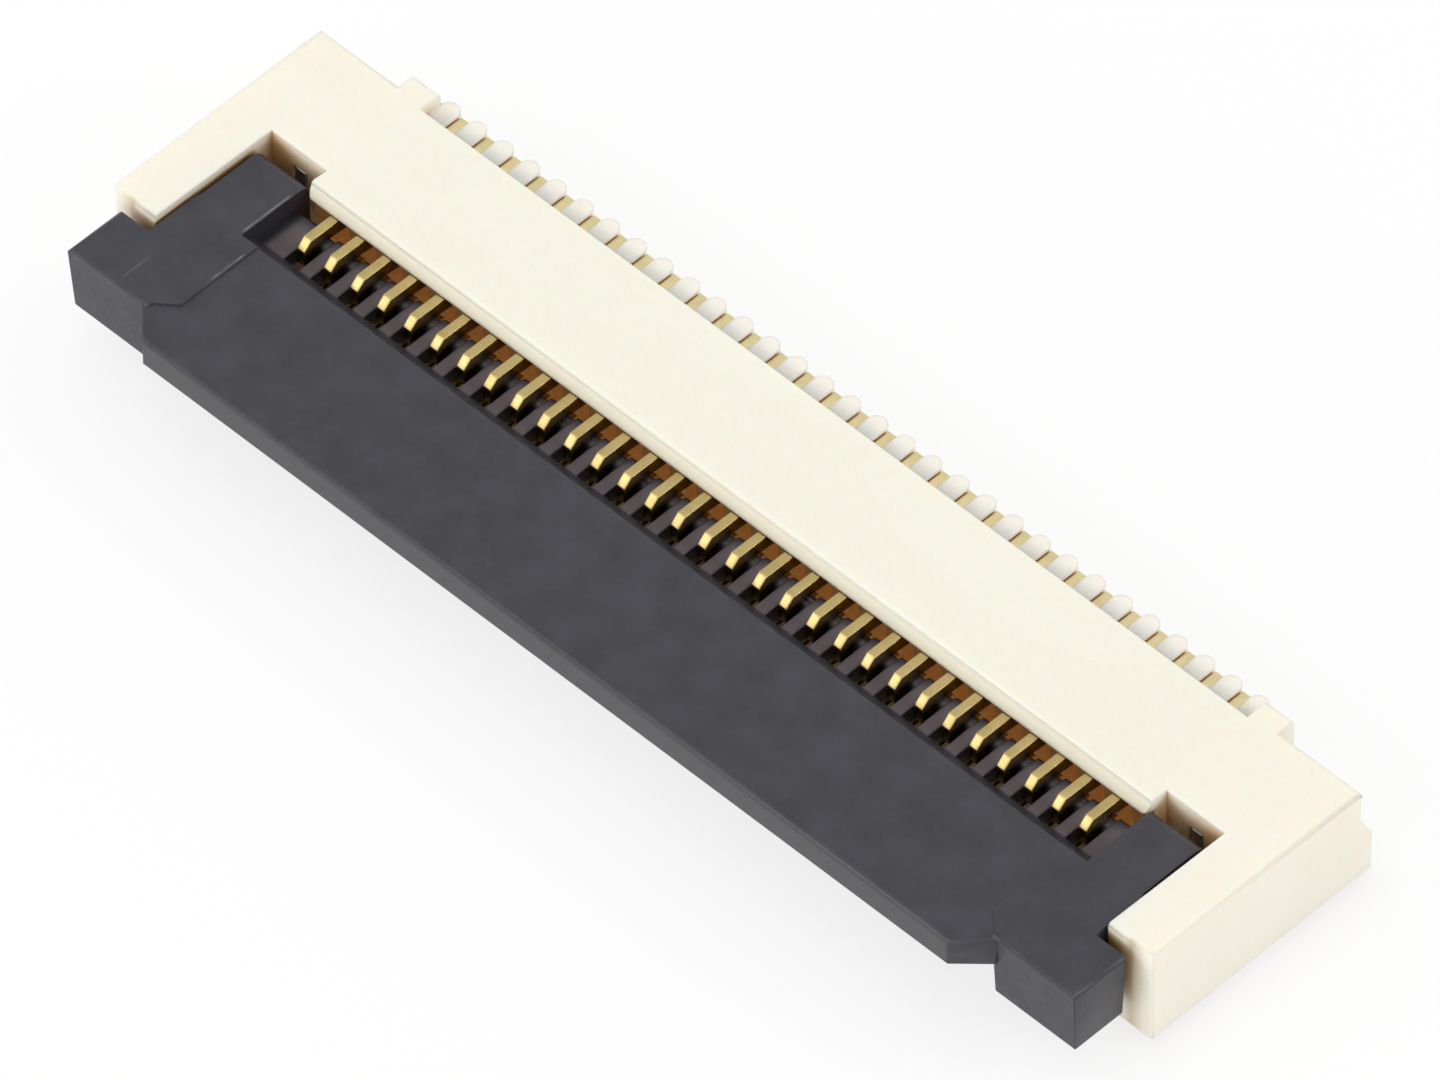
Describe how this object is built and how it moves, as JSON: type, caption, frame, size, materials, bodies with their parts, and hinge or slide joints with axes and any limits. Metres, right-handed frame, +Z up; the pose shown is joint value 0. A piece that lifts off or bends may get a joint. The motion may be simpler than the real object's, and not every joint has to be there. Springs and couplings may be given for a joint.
{
  "type": "fpc connector",
  "caption": "Surface-mount connector for a flat flexible cable: an ivory housing with a row of hooked gold contacts and a dark flip actuator that clamps the cable.",
  "frame": {"origin": "centre of the bounding box in X and Y, on the board plane that the solder tails and solder feet touch", "axes": "+X along the contact row, -Y towards the cable side and the actuator, +Z up from the board"},
  "size_m": [0.0194, 0.0066, 0.0019],
  "materials": {
    "housing_plastic": "satin moulded, slightly translucent",
    "actuator_plastic": "fine matte moulded",
    "contact_metal": "bright gold plated",
    "fitting_metal": "satin tin plated"
  },
  "bodies": {
    "base": {"housing": "housing_plastic", "solder_fitting_left": "fitting_metal", "solder_fitting_right": "fitting_metal", "contact_01": "contact_metal", "contact_02": "contact_metal", "contact_03": "contact_metal", "contact_04": "contact_metal", "contact_05": "contact_metal", "contact_06": "contact_metal", "contact_07": "contact_metal", "contact_08": "contact_metal", "contact_09": "contact_metal", "contact_10": "contact_metal", "contact_11": "contact_metal", "contact_12": "contact_metal", "contact_13": "contact_metal", "contact_14": "contact_metal", "contact_15": "contact_metal", "contact_16": "contact_metal", "contact_17": "contact_metal", "contact_18": "contact_metal", "contact_19": "contact_metal", "contact_20": "contact_metal", "contact_21": "contact_metal", "contact_22": "contact_metal", "contact_23": "contact_metal", "contact_24": "contact_metal", "contact_25": "contact_metal", "contact_26": "contact_metal", "contact_27": "contact_metal", "contact_28": "contact_metal", "contact_29": "contact_metal", "contact_30": "contact_metal"},
    "flip": {"actuator": "actuator_plastic"}
  },
  "joints": [
    {"name": "actuator_flip", "type": "hinge", "parent": "base", "child": "flip", "pos_m": [0, -0.00008, 0.00125], "axis": [-1, 0, 0], "range_deg": [0, 90]}
  ]
}
